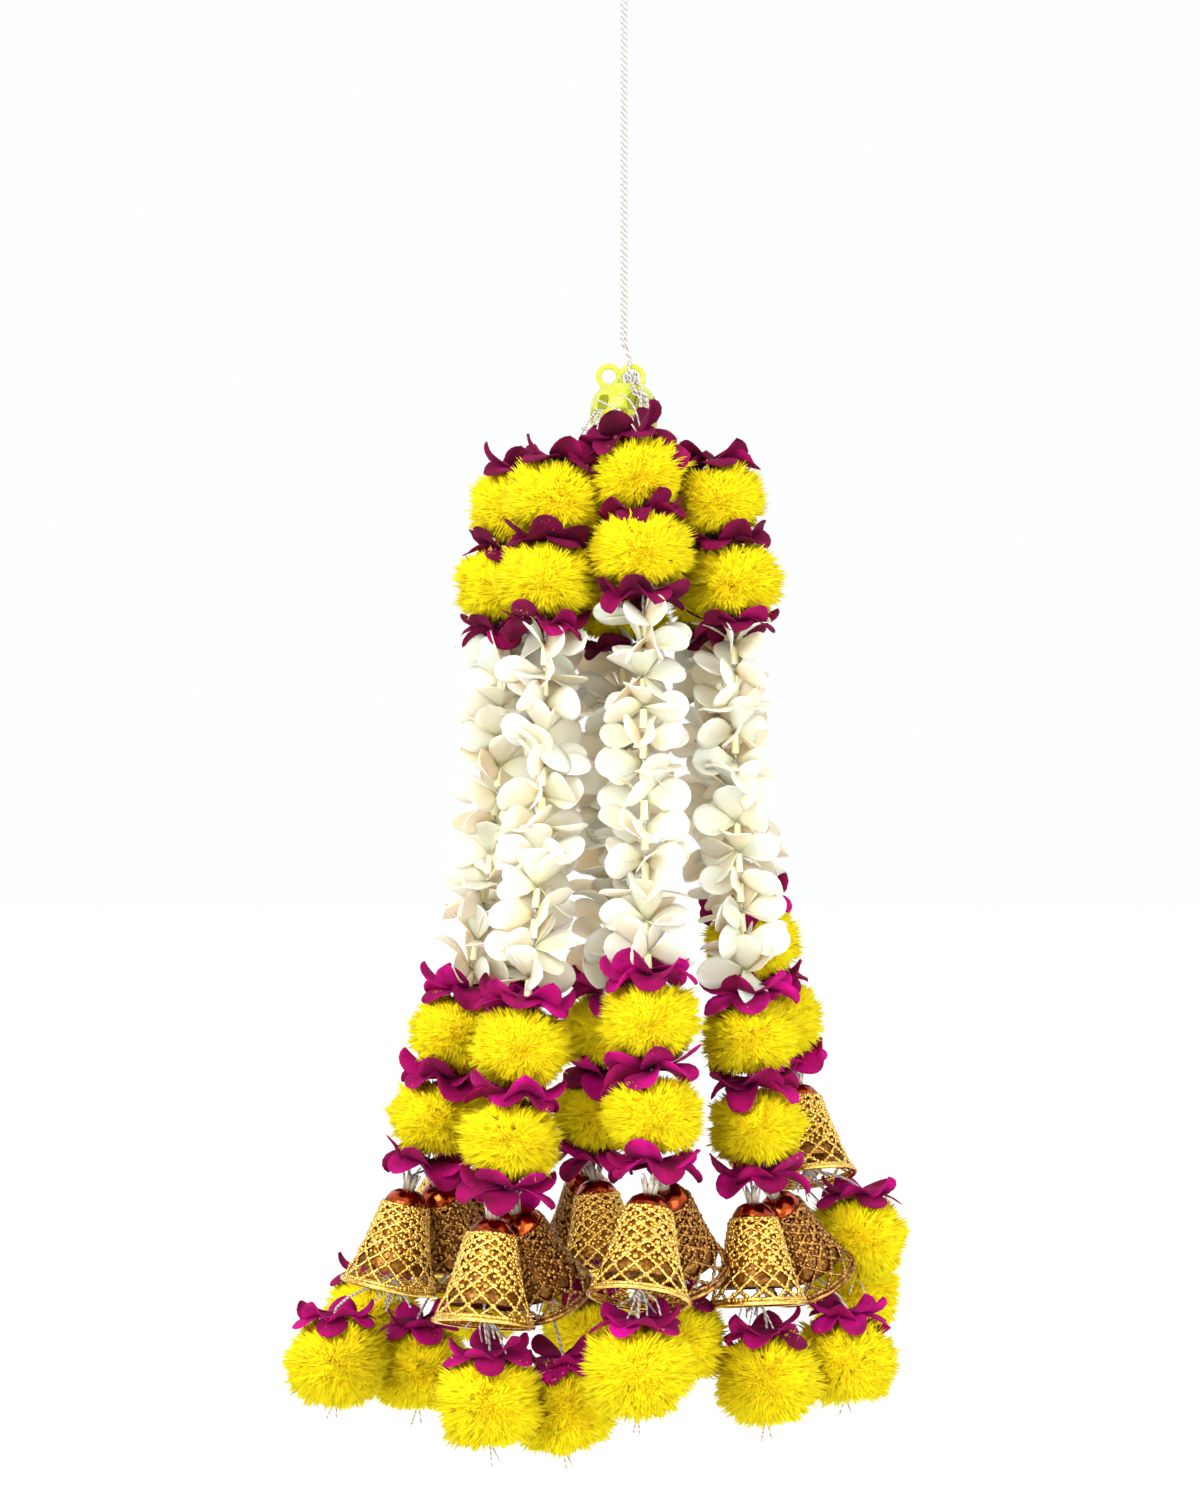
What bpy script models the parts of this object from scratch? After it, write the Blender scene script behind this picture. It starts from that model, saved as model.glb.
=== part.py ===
# A hanging garland of cloth marigolds: a doubled cord holds a small plastic crown, and seven threads
# hang from the crown in a ring. Each thread carries marigolds, orchids and a string of white blossoms,
# and forks at its end into two drops, each with a bell and a marigold tassel.
# Metres, +Z up. The origin is the top of the cord's loop, where it goes over a hook.
import math

import bmesh
import bpy
from mathutils import Matrix, Vector

GAP = 0.0003  # between pieces that touch

# Hanging cord, doubled
CORD_RADIUS = 0.00075
CORD_LEG_X = 0.00092  # each leg's distance from the middle
CORD_SPAN_POINTS = 2  # points on the smooth line for each one below
CORD_ROUND_BAR = ((0.75, -0.0034), (1.0, 0.0))  # share of the room it needs to pass the bar, z from the bar
CORD_ABOVE_BAR = (  # x, y, z from the bar
    (0.0022, 0.0013, 0.0045), (0.0009, 0.0006, 0.012), (CORD_LEG_X, 0, 0.022), (CORD_LEG_X, 0, 0.045),
    (CORD_LEG_X, 0, 0.085),
)
CORD_LOOP = (  # x, y, z
    (CORD_LEG_X, 0, -0.070), (CORD_LEG_X, 0, -0.036), (CORD_LEG_X, 0, -0.020), (0.0019, 0, -0.013),
    (0.0038, 0, -0.0075), (0.0036, 0, -0.0028),
)
CORD_CROSSING = 0.008  # up to here above the bar the two legs lie about the bar, and then about the middle
BAR_SIDE = 0.0012  # from the right ear's middle to where the cord goes round it
KNOT_RADIUS = 0.0024
KNOT_BITE = 0.00015  # how far the cord's ends go into the knot

# Plastic crown that holds the threads
CROWN_BASE_Z = -0.2345
CROWN_WALL = 0.0016
CROWN_PROFILE = ((0.0163, 0.0), (0.0172, 0.0080), (0.0168, 0.0155), (0.0138, 0.0222), (0.0086, 0.0258))
CROWN_BORES = 3  # each makes two windows, one opposite the other
CROWN_WINDOW_RADIUS = 0.0030
CROWN_WINDOW_HEIGHT = 0.0085
EAR_LEFT = (-0.0076, 0.0298, 0.0050, 0.0015)  # x, height, ring radius, bar radius
EAR_RIGHT = (0.0038, 0.0288, 0.0060, 0.0014)
EAR_STEPS = 16

# The ring of threads, in the frame of its own middle
RING_MIDDLE_X = -0.004
THREAD_RADIUS = 0.0008
THREAD_START = 0.0020  # below the crown's edge
ROOT_RADIUS = 0.0125  # distance of the tied ends from the middle
SHOULDER_DROP = 0.022  # how soon the threads reach the waist
FLARE_START = 0.150
FLARE_SPAN = 0.290
FLARE_POWER = 1.6
ROUTE_STEP = 0.0005  # between points on a thread at its top, where it bends most
ROUTE_GROWTH = 0.05
ROUTE_POINTS = 125

# What is on a thread, in order from the top
FIRST_ORCHID = 0.030
UPPER_STEP = 0.0200
LOWER_STEP = 0.0222
BLOSSOM_PITCH = 0.0146
BLOSSOM_RADIUS = 0.0205
STRAW_RADIUS = 0.0022
ORCHID_RADIUS = 0.0125
ORCHID_HALF = 0.0022
UPPER_MARIGOLD = (0.0210, 0.0172)  # radius, half height
LOWER_MARIGOLD = (0.0240, 0.0194)
TASSEL_MARIGOLD = (0.0215, 0.0185)
MARIGOLD_SHAPE = (  # shares of the half height and of the radius
    (-1.0, 0.42), (-0.62, 0.85), (0.0, 1.0), (0.62, 0.85), (1.0, 0.42),
)
BORE_RADIUS = 0.0015
BLOSSOMS_AFTER = 2  # the orchid that the string of blossoms follows, counting from 0
BLOSSOM_RUNS = 6  # straight pieces of the thread through the blossoms
DROP_RUNS = 6  # straight pieces of a drop's thread between its bell's top and its orchid
BLOSSOM_SPACE = 0.0035  # from an orchid's middle to the string of blossoms

# Bell, from the top of its prongs to its rim: radius, height below the top
BELL_OUTSIDE = (
    (0.0052, 0.0), (0.0060, 0.0070), (0.0108, 0.0110), (0.0126, 0.0190),
    (0.0146, 0.0315), (0.0188, 0.0440), (0.0250, 0.0555),
)
BELL_INSIDE = ((0.0233, 0.0555), (0.0172, 0.0445), (0.0131, 0.0320), (0.0108, 0.0190), (0.0060, 0.0130))
BELL_BORE_END = 0.0015  # the bore's mouth is this far above the end of the inside
BELL_TOP_DROP = 0.0045  # from the fork to the bell's top, along the thread
BELL_TOP_SIDE = 0.0085  # from the fork to the bell's top, sideways
BELL_HEIGHT = BELL_OUTSIDE[-1][1]
BELL_ENTRY = 0.0012  # above a bell's top, where its thread turns straight
BELL_THREAD = (0.6, 0.9)  # shares of a bell's height at which its thread is still on its axis
FORK_BITE = 0.0006
FORK_WIDTH = 1.8  # times the thread's radius
LEG_WIDTH = 1.6

SIDES = {"thread": 6, "marigold": 7, "blossom": 6, "bell": 8, "crown": 10, "ear": 8, "window": 8}

# Each thread: its angle about the ring, 0 to the front and 90 to +X; the angle it turns by at the hem;
# its distance from the middle at the waist and the hem; how far its flowers are drawn up; its number of
# white blossoms; each bell's lean to +X and to +Y; and each tassel's place below its bell's mouth.
STRANDS = (
    dict(angle=-93, turn=0, waist=0.058, hem=0.120, drawn=0.001, blossoms=12,
         lean=((-0.20, -0.14), (0.26, 0.38)), tassel=((-0.025, -0.004, -0.033), (-0.022, -0.010, -0.048))),
    dict(angle=-37, turn=0, waist=0.058, hem=0.108, drawn=0.002, blossoms=12,
         lean=((-0.08, -0.30), (0.32, 0.40)), tassel=((0.003, 0.004, -0.034), (0.008, -0.016, -0.048))),
    dict(angle=13, turn=0, waist=0.057, hem=0.100, drawn=0.016, blossoms=12,
         lean=((-0.12, -0.45), (0.20, 0.46)), tassel=((0.000, 0.000, -0.030), (-0.004, 0.008, -0.034))),
    dict(angle=71, turn=0, waist=0.062, hem=0.083, drawn=0.001, blossoms=12,
         lean=((0.04, -0.24), (0.44, 0.30)), tassel=((0.004, 0.002, -0.033), (0.016, -0.010, -0.036))),
    dict(angle=122, turn=4, waist=0.062, hem=0.172, drawn=-0.004, blossoms=9,
         lean=((0.12, -0.40), (-0.10, 0.36)), tassel=((0.024, 0.000, -0.028), (0.042, -0.010, -0.064))),
    dict(angle=176, turn=19, waist=0.057, hem=0.098, drawn=-0.005, blossoms=12,
         lean=((0.10, -0.18), (-0.04, 0.50)), tassel=((-0.008, 0.004, -0.030), (0.002, 0.004, -0.036))),
    dict(angle=222, turn=8, waist=0.064, hem=0.128, drawn=-0.006, blossoms=12,
         lean=((-0.36, 0.24), (0.16, 0.62)), tassel=((-0.026, 0.000, -0.030), (-0.012, 0.004, -0.034))),
)

COLOURS = {  # base colour, roughness, metallic
    "cord_white": ((0.74, 0.73, 0.70, 1), 0.6, 0.0),
    "crown_yellow": ((0.72, 0.82, 0.03, 1), 0.25, 0.0),
    "orchid_purple": ((0.28, 0.004, 0.10, 1), 0.85, 0.0),
    "marigold_yellow": ((0.86, 0.62, 0.01, 1), 0.9, 0.0),
    "blossom_white": ((0.90, 0.86, 0.78, 1), 0.7, 0.0),
    "bell_gold": ((0.83, 0.55, 0.14, 1), 0.25, 1.0),
}


def clear_scene():
    for obj in list(bpy.data.objects):
        bpy.data.objects.remove(obj, do_unlink=True)


def finish_of(slot):
    found = bpy.data.materials.get(slot)
    if found:
        return found
    colour, roughness, metallic = COLOURS[slot]
    material = bpy.data.materials.new(slot)
    material.use_nodes = True
    shader = material.node_tree.nodes["Principled BSDF"]
    shader.inputs["Base Color"].default_value = colour
    shader.inputs["Roughness"].default_value = roughness
    shader.inputs["Metallic"].default_value = metallic
    return material


def make_object(name, mesh, slot=None):
    obj = bpy.data.objects.new(name, mesh)
    bpy.context.scene.collection.objects.link(obj)
    if slot:
        mesh.materials.append(finish_of(slot))
        mesh.shade_smooth()
    return obj


def mesh_of(name, bm):
    bmesh.ops.recalc_face_normals(bm, faces=bm.faces)
    mesh = bpy.data.meshes.new(name)
    bm.to_mesh(mesh)
    bm.free()
    return mesh


def loft(name, rings, sides, closed):
    """Walls between circles, one after another. Closed joins the last to the first, as round a bore."""
    bm = bmesh.new()
    circles = [
        bmesh.ops.create_circle(bm, cap_ends=False, segments=sides, radius=radius, matrix=place)["verts"]
        for place, radius in rings
    ]
    following = circles[1:] + circles[:1] if closed else circles[1:]
    for near, far in zip(circles, following):
        for k in range(sides):
            bm.faces.new((near[k - 1], near[k], far[k], far[k - 1]))
    if not closed:
        bm.faces.new(circles[0])
        bm.faces.new(circles[-1])
    return mesh_of(name, bm)


def facing(direction, side):
    """A turn that takes +Z to direction and keeps +X near side."""
    z = direction.normalized()
    y = z.cross(side).normalized()
    return Matrix((y.cross(z), y, z)).transposed().to_4x4()


def boolean(obj, other, operation):
    other.hide_render = True
    other.display_type = "WIRE"
    cut = obj.modifiers.new(other.name, "BOOLEAN")
    cut.operation = operation
    cut.object = other


class Route:
    """A smooth line read by the distance along it."""

    STEP = 0.001

    def __init__(self, points, side):
        self.points = points
        self.side = side
        self.along = [0.0]
        for a, b in zip(points, points[1:]):
            self.along.append(self.along[-1] + (b - a).length)

    def point(self, s):
        for i, (low, high) in enumerate(zip(self.along, self.along[1:])):
            if s <= high or i == len(self.points) - 2:
                return self.points[i].lerp(self.points[i + 1], (s - low) / (high - low))
        return self.points[-1]

    def place(self, s):
        ahead = self.point(s + self.STEP) - self.point(s - self.STEP)
        return Matrix.Translation(self.point(s)) @ facing(ahead, self.side)

    def length(self):
        return self.along[-1]


def smooth_points(controls, per_span):
    """Points on the Catmull-Rom curve through the controls, the controls among them."""
    ends = [2 * controls[0] - controls[1]] + list(controls) + [2 * controls[-1] - controls[-2]]
    points = []
    for a, b, c, d in zip(ends, ends[1:], ends[2:], ends[3:]):
        for k in range(per_span):
            t = k / per_span
            bend = t * t * (2 * a - 5 * b + 4 * c - d) + t**3 * (3 * b - 3 * c + d - a)
            points.append(0.5 * (2 * b + t * (c - a) + bend))
    return points + [controls[-1]]


def hang_point(strand, drop):
    """Where a thread is at this drop below the crown's edge."""
    flare = max(0.0, (drop - FLARE_START) / FLARE_SPAN) ** FLARE_POWER
    shoulder = 1 - math.exp(-max(drop, 0.0) / SHOULDER_DROP)
    radius = ROOT_RADIUS + (strand["waist"] - ROOT_RADIUS) * shoulder
    radius += (strand["hem"] - strand["waist"]) * flare
    angle = math.radians(strand["angle"] + strand["turn"] * flare)
    return Vector((RING_MIDDLE_X + radius * math.sin(angle), -radius * math.cos(angle), CROWN_BASE_Z - drop))


def strand_route(strand):
    angle = math.radians(strand["angle"])
    drops = [THREAD_START + ROUTE_STEP * k * (1 + ROUTE_GROWTH * k) for k in range(ROUTE_POINTS)]
    return Route([hang_point(strand, drop) for drop in drops], Vector((math.cos(angle), math.sin(angle), 0)))


def stations(strand):
    """The distance along the thread of each thing on it."""
    s = FIRST_ORCHID - strand["drawn"]
    found = {"orchids": [s], "upper": [], "lower": []}
    for _ in range(2):
        found["upper"].append(s + UPPER_STEP)
        s += 2 * UPPER_STEP
        found["orchids"].append(s)
    found["blossoms"] = s + BLOSSOM_SPACE
    s = found["blossoms"] + strand["blossoms"] * BLOSSOM_PITCH + BLOSSOM_SPACE
    found["orchids"].append(s)
    for _ in range(2):
        found["lower"].append(s + LOWER_STEP)
        s += 2 * LOWER_STEP
        found["orchids"].append(s)
    found["fork"] = s + 2 * ORCHID_HALF
    return found


def orchid_rings(route, s):
    return [
        (route.place(s - ORCHID_HALF), THREAD_RADIUS),
        (route.place(s), ORCHID_RADIUS),
        (route.place(s + ORCHID_HALF), THREAD_RADIUS),
    ]


def marigold_rings(route, s, size):
    """The outside of a marigold, from its top to its bottom."""
    radius, half = size
    return [(route.place(s + half * along), radius * wide) for along, wide in MARIGOLD_SHAPE]


def bored(rings, route, start, end):
    """Adds the wall of a bore, back from the end to the start."""
    return rings + [(route.place(s), BORE_RADIUS) for s in (end, start)]


def make_marigold(name, route, s, size):
    rings = bored(marigold_rings(route, s, size), route, s - size[1], s + size[1])
    make_object(name, loft(name, rings, SIDES["marigold"], True), "marigold_yellow")


def make_blossoms(name, route, start, count):
    """White blossoms with a straw after each, bored for the thread."""
    rings = []
    for k in range(count):
        top = start + k * BLOSSOM_PITCH
        rings.append((route.place(top), STRAW_RADIUS))
        rings.append((route.place(top + BLOSSOM_PITCH / 2), BLOSSOM_RADIUS))
    end = start + count * BLOSSOM_PITCH
    rings.append((route.place(end), STRAW_RADIUS))
    span = count * BLOSSOM_PITCH
    rings += [(route.place(end - span * k / BLOSSOM_RUNS), BORE_RADIUS) for k in range(BLOSSOM_RUNS + 1)]
    make_object(name, loft(name, rings, SIDES["blossom"], True), "blossom_white")


def bell_frame(strand, route, fork, which):
    """The bell's top and the direction of its mouth."""
    lean = Vector((*strand["lean"][which], -1)).normalized()
    other = Vector((*strand["lean"][1 - which], -1)).normalized()
    apart = lean - other
    apart.z = 0
    top = route.point(fork) + apart.normalized() * BELL_TOP_SIDE + Vector((0, 0, -BELL_TOP_DROP))
    return top, lean


def make_bell(name, top, lean):
    turn = Matrix.Translation(top) @ facing(lean, Vector((0, 1, 0)))
    bore = ((BORE_RADIUS, BELL_INSIDE[-1][1] - BELL_BORE_END), (BORE_RADIUS, 0.0))
    profile = BELL_OUTSIDE + BELL_INSIDE + bore
    rings = [(turn @ Matrix.Translation((0, 0, height)), radius) for radius, height in profile]
    make_object(name, loft(name, rings, SIDES["bell"], True), "bell_gold")


def drop_route(route, fork, top, lean, tassel):
    """From the fork over to a bell's top, straight through it, and on down to the tassel's lower end."""
    middle = top + lean * BELL_HEIGHT + Vector(tassel)
    half = Vector((0, 0, TASSEL_MARIGOLD[1]))
    above = Vector((0, 0, ORCHID_HALF))
    entry = top - lean * BELL_ENTRY
    leaving = top + lean * BELL_INSIDE[-1][1]
    below = [leaving] + [top + lean * share * BELL_HEIGHT for share in BELL_THREAD]
    below += [middle + half + 4 * above, middle + half + above, middle, middle - half]
    return Route([route.point(fork), entry] + smooth_points(below, 4), Vector((1, 0, 0)))


def make_drop(name, route, fork, top, lean, tassel):
    """One leg of the fork: its thread, a tassel's orchid and the marigold tied on its end."""
    leg = drop_route(route, fork, top, lean, tassel)
    middle = leg.length() - TASSEL_MARIGOLD[1]
    orchid = middle - TASSEL_MARIGOLD[1] - ORCHID_HALF - GAP
    entry, leaving = leg.along[1], leg.along[2]
    rings = [(leg.place(0.0), LEG_WIDTH * THREAD_RADIUS), (leg.place(entry), THREAD_RADIUS)]
    rings.append((leg.place(leaving), THREAD_RADIUS))
    inside = orchid - ORCHID_HALF - leaving
    rings += [
        (leg.place(leaving + inside * k / DROP_RUNS), THREAD_RADIUS) for k in range(1, DROP_RUNS)
    ]
    rings += orchid_rings(leg, orchid)
    rings += marigold_rings(leg, middle, TASSEL_MARIGOLD)
    return loft(name, rings, SIDES["thread"], False)


def make_thread(name, strand, route, at):
    """A thread with the orchids on it, its fork, and the two tassels tied on its ends."""
    rings = [(route.place(0.0), THREAD_RADIUS), (route.place(at["orchids"][0] / 2), THREAD_RADIUS)]
    between = [at["upper"][:1], at["upper"][1:], [], at["lower"][:1], at["lower"][1:], []]
    halves = [UPPER_MARIGOLD[1]] * 3 + [LOWER_MARIGOLD[1]] * 3
    for k, orchid in enumerate(at["orchids"]):
        rings += orchid_rings(route, orchid)
        for middle in between[k]:
            rings += [(route.place(middle + halves[k] * step), THREAD_RADIUS) for step in (-1, 1)]
        if k == BLOSSOMS_AFTER:
            span = strand["blossoms"] * BLOSSOM_PITCH
            rings += [
                (route.place(at["blossoms"] + span * run / BLOSSOM_RUNS), THREAD_RADIUS)
                for run in range(BLOSSOM_RUNS + 1)
            ]
    rings.append((route.place(at["fork"] + FORK_BITE), FORK_WIDTH * THREAD_RADIUS))
    thread = make_object(name, loft(name, rings, SIDES["thread"], False), "orchid_purple")
    for which in (0, 1):
        top, lean = bell_frame(strand, route, at["fork"], which)
        leg = name + "_leg_" + "ab"[which]
        drop = make_drop(leg, route, at["fork"], top, lean, strand["tassel"][which])
        boolean(thread, make_object(leg, drop), "UNION")


def make_strand(number, strand):
    route = strand_route(strand)
    at = stations(strand)
    make_thread(f"thread_{number}", strand, route, at)
    for which, letter in enumerate("ab"):
        make_marigold(f"upper_marigold_{number}{letter}", route, at["upper"][which], UPPER_MARIGOLD)
        make_marigold(f"lower_marigold_{number}{letter}", route, at["lower"][which], LOWER_MARIGOLD)
        make_bell(f"bell_{number}{letter}", *bell_frame(strand, route, at["fork"], which))
    make_blossoms(f"blossom_string_{number}", route, at["blossoms"], strand["blossoms"])


def make_ear(name, ear):
    x, height, ring, bar = ear
    bm = bmesh.new()
    start = Matrix.Translation((x + ring, 0, CROWN_BASE_Z + height))
    made = bmesh.ops.create_circle(bm, segments=SIDES["ear"], radius=bar, matrix=start)
    edges = list({edge for vert in made["verts"] for edge in vert.link_edges})
    bmesh.ops.spin(
        bm, geom=made["verts"] + edges, cent=(x, 0, CROWN_BASE_Z + height), axis=(0, 1, 0),
        angle=2 * math.pi, steps=EAR_STEPS, use_merge=True,
    )
    return make_object(name, mesh_of(name, bm))


def make_crown():
    """A small domed cage with windows round it and two rings on top, all one moulding."""
    upright = Matrix.Translation((0, 0, CROWN_BASE_Z))
    outside = [(upright @ Matrix.Translation((0, 0, height)), radius) for radius, height in CROWN_PROFILE]
    crown = make_object("crown", loft("crown", outside, SIDES["crown"], False), "crown_yellow")
    inside = [
        (upright @ Matrix.Translation((0, 0, height - CROWN_WALL)), radius - CROWN_WALL)
        for radius, height in CROWN_PROFILE
    ]
    hollow = make_object("crown_hollow", loft("crown_hollow", inside, SIDES["crown"], False))
    boolean(crown, hollow, "DIFFERENCE")
    for k in range(CROWN_BORES):
        turn = Matrix.Rotation(math.pi * (k + 0.5) / CROWN_BORES, 4, "Z")
        across = turn @ Matrix.Rotation(math.pi / 2, 4, "X")
        place = Matrix.Translation((0, 0, CROWN_BASE_Z + CROWN_WINDOW_HEIGHT)) @ across
        bm = bmesh.new()
        bmesh.ops.create_cone(
            bm, cap_ends=True, segments=SIDES["window"], radius1=CROWN_WINDOW_RADIUS,
            radius2=CROWN_WINDOW_RADIUS, depth=4 * CROWN_PROFILE[0][0], matrix=place,
        )
        windows = make_object(f"crown_windows_{k}", mesh_of("crown_windows", bm))
        boolean(crown, windows, "DIFFERENCE")
    for name, ear in (("ear_left", EAR_LEFT), ("ear_right", EAR_RIGHT)):
        boolean(crown, make_ear(name, ear), "UNION")


def cord_controls():
    """From the knot up before the right ear's bar, over the loop at the top and down behind the bar."""
    bar_x = EAR_RIGHT[0] - BAR_SIDE
    bar_z = CROWN_BASE_Z + EAR_RIGHT[1] + EAR_RIGHT[2]
    clear = EAR_RIGHT[3] + CORD_RADIUS + 2 * GAP
    back = [Vector((bar_x, clear * share, bar_z + rise)) for share, rise in CORD_ROUND_BAR]
    back += [Vector((x, y, bar_z + rise)) for x, y, rise in CORD_ABOVE_BAR]
    back += [Vector(point) for point in CORD_LOOP]
    front = [
        Vector((2 * bar_x - p.x if p.z < bar_z + CORD_CROSSING else -p.x, -p.y, p.z)) for p in back
    ]
    return front + [Vector((0, 0, -CORD_RADIUS))] + back[::-1]


def make_cord():
    points = smooth_points(cord_controls(), CORD_SPAN_POINTS)
    curve = bpy.data.curves.new("hanging_cord", "CURVE")
    curve.dimensions = "3D"
    curve.bevel_depth = CORD_RADIUS
    curve.bevel_resolution = 2
    curve.use_fill_caps = True
    spline = curve.splines.new("POLY")
    spline.points.add(len(points) - 1)
    for slot, point in zip(spline.points, points):
        slot.co = (*point, 1)
    curve.materials.append(finish_of("cord_white"))
    cord = bpy.data.objects.new("hanging_cord", curve)
    bpy.context.scene.collection.objects.link(cord)


def make_knot():
    ends = cord_controls()
    middle = (ends[0] + ends[-1]) / 2
    middle.z -= KNOT_RADIUS + KNOT_BITE
    bm = bmesh.new()
    bmesh.ops.create_uvsphere(
        bm, u_segments=8, v_segments=6, radius=KNOT_RADIUS, matrix=Matrix.Translation(middle)
    )
    make_object("cord_knot", mesh_of("cord_knot", bm), "cord_white")


def main():
    clear_scene()
    make_crown()
    make_cord()
    make_knot()
    for number, strand in enumerate(STRANDS, 1):
        make_strand(number, strand)


main()
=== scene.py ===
# Looks of a hanging garland: cloth marigolds, velvet orchids and white blossoms on seven threads,
# a small plastic crown on a doubled cord, and gilt bells with marigold tassels.
import math
import random

import bmesh
import bpy
import numpy as np
from mathutils import Matrix, Vector, noise


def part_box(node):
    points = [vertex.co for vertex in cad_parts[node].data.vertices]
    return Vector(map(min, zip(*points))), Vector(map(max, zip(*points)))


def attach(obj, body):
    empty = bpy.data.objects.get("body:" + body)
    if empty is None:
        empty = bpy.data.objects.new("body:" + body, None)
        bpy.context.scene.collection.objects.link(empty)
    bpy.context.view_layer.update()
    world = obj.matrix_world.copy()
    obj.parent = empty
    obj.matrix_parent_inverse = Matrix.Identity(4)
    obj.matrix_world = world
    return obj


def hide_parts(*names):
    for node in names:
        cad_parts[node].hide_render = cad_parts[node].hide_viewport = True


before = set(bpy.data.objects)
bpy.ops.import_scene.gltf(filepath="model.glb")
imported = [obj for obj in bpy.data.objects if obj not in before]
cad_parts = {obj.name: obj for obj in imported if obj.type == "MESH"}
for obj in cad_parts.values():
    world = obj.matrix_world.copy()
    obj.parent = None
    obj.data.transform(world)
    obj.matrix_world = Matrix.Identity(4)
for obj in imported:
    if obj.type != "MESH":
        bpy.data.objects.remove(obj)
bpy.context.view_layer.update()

strands = range(1, 8)
down = Vector((0, 0, -1))
forward = Vector((0, -1, 0))
random.seed(7)

view = {
    "place": (-0.012, -1.3, -0.388),
    "focal": 2600,  # in rows of the finished image
    "rows": 1486,
    "lampAim": (0, 0, -0.45),
    "backdrop": (0.985, 0.992, 1, 1),
    "room": 1.2,  # strength of the light from all round
    "roomLow": (0.18, (0.24, 0.22, 0.20, 1)),  # where it is dimmest (0 is below), and the colour
    "roomHigh": (0.72, (1, 1, 1, 1)),
    "floorZ": -1.05,
    "floorSize": 9.0,
}
lamps = {  # place, size, energy, colour
    "key": ((-0.9, -1.7, 0.55), 1.5, 46, (1.0, 0.985, 0.96)),
    "fill": ((1.2, -1.5, -0.30), 1.3, 18, (1.0, 1.0, 1.0)),
}


def makeView():
    data = bpy.data.cameras.new("camera")
    data.sensor_fit = "VERTICAL"
    data.angle = 2 * math.atan(view["rows"] / 2 / view["focal"])
    camera = bpy.data.objects.new("camera", data)
    camera.location = view["place"]
    camera.rotation_euler = (math.pi / 2, 0, 0)
    bpy.context.scene.collection.objects.link(camera)
    bpy.context.scene.camera = camera
    bpy.context.scene.view_settings.view_transform = "Standard"  # keeps the yellow as strong as it is

    for name, (place, size, energy, colour) in lamps.items():
        lamp = bpy.data.lights.new(name, "AREA")
        lamp.size = size
        lamp.energy = energy
        lamp.color = colour
        holder = bpy.data.objects.new(name, lamp)
        holder.location = place
        aim = Vector(view["lampAim"]) - Vector(place)
        holder.rotation_euler = aim.to_track_quat("-Z", "Y").to_euler()
        bpy.context.scene.collection.objects.link(holder)

    world = bpy.data.worlds.new("studio")
    world.use_nodes = True
    bpy.context.scene.world = world
    nodes, links = world.node_tree.nodes, world.node_tree.links
    backdrop = nodes["Background"]
    backdrop.inputs["Color"].default_value = view["backdrop"]
    backdrop.inputs["Strength"].default_value = 1.0
    room = nodes.new("ShaderNodeBackground")  # what lights the garland, brighter from above
    room.inputs["Strength"].default_value = view["room"]
    towards = nodes.new("ShaderNodeTexCoord")
    split = nodes.new("ShaderNodeSeparateXYZ")
    fade = nodes.new("ShaderNodeValToRGB")
    for element, (position, colour) in zip(fade.color_ramp.elements, (view["roomLow"], view["roomHigh"])):
        element.position = position
        element.color = colour
    lift = nodes.new("ShaderNodeMath")
    lift.operation = "MULTIPLY_ADD"
    lift.inputs[1].default_value = lift.inputs[2].default_value = 0.5  # from -1 to 1, to 0 to 1
    mix = nodes.new("ShaderNodeMixShader")
    path = nodes.new("ShaderNodeLightPath")
    links.new(towards.outputs["Generated"], split.inputs[0])
    links.new(split.outputs["Z"], lift.inputs[0])
    links.new(lift.outputs[0], fade.inputs[0])
    links.new(fade.outputs[0], room.inputs["Color"])
    links.new(path.outputs["Is Camera Ray"], mix.inputs[0])
    links.new(room.outputs[0], mix.inputs[1])
    links.new(backdrop.outputs[0], mix.inputs[2])
    links.new(mix.outputs[0], nodes["World Output"].inputs["Surface"])

    bm = bmesh.new()
    bmesh.ops.create_grid(
        bm, x_segments=1, y_segments=1, size=view["floorSize"],
        matrix=Matrix.Translation((0, 0, view["floorZ"])),
    )
    floor = finishMesh("floor", bm, paleFloor())


# sRGB from 0 to 255 as the shader's own numbers.
def linear(red, green, blue):
    parts = (red, green, blue)
    return tuple(((part / 255 + 0.055) / 1.055) ** 2.4 if part > 10 else part / 3295 for part in parts) + (1,)


def newMaterial(name, roughness, metallic=0.0, **constants):
    material = bpy.data.materials.new(name)
    material.use_nodes = True
    shader = material.node_tree.nodes["Principled BSDF"]
    shader.inputs["Roughness"].default_value = roughness
    shader.inputs["Metallic"].default_value = metallic
    for socket, value in constants.items():
        shader.inputs[socket.replace("_", " ")].default_value = value
    return material, shader


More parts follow.
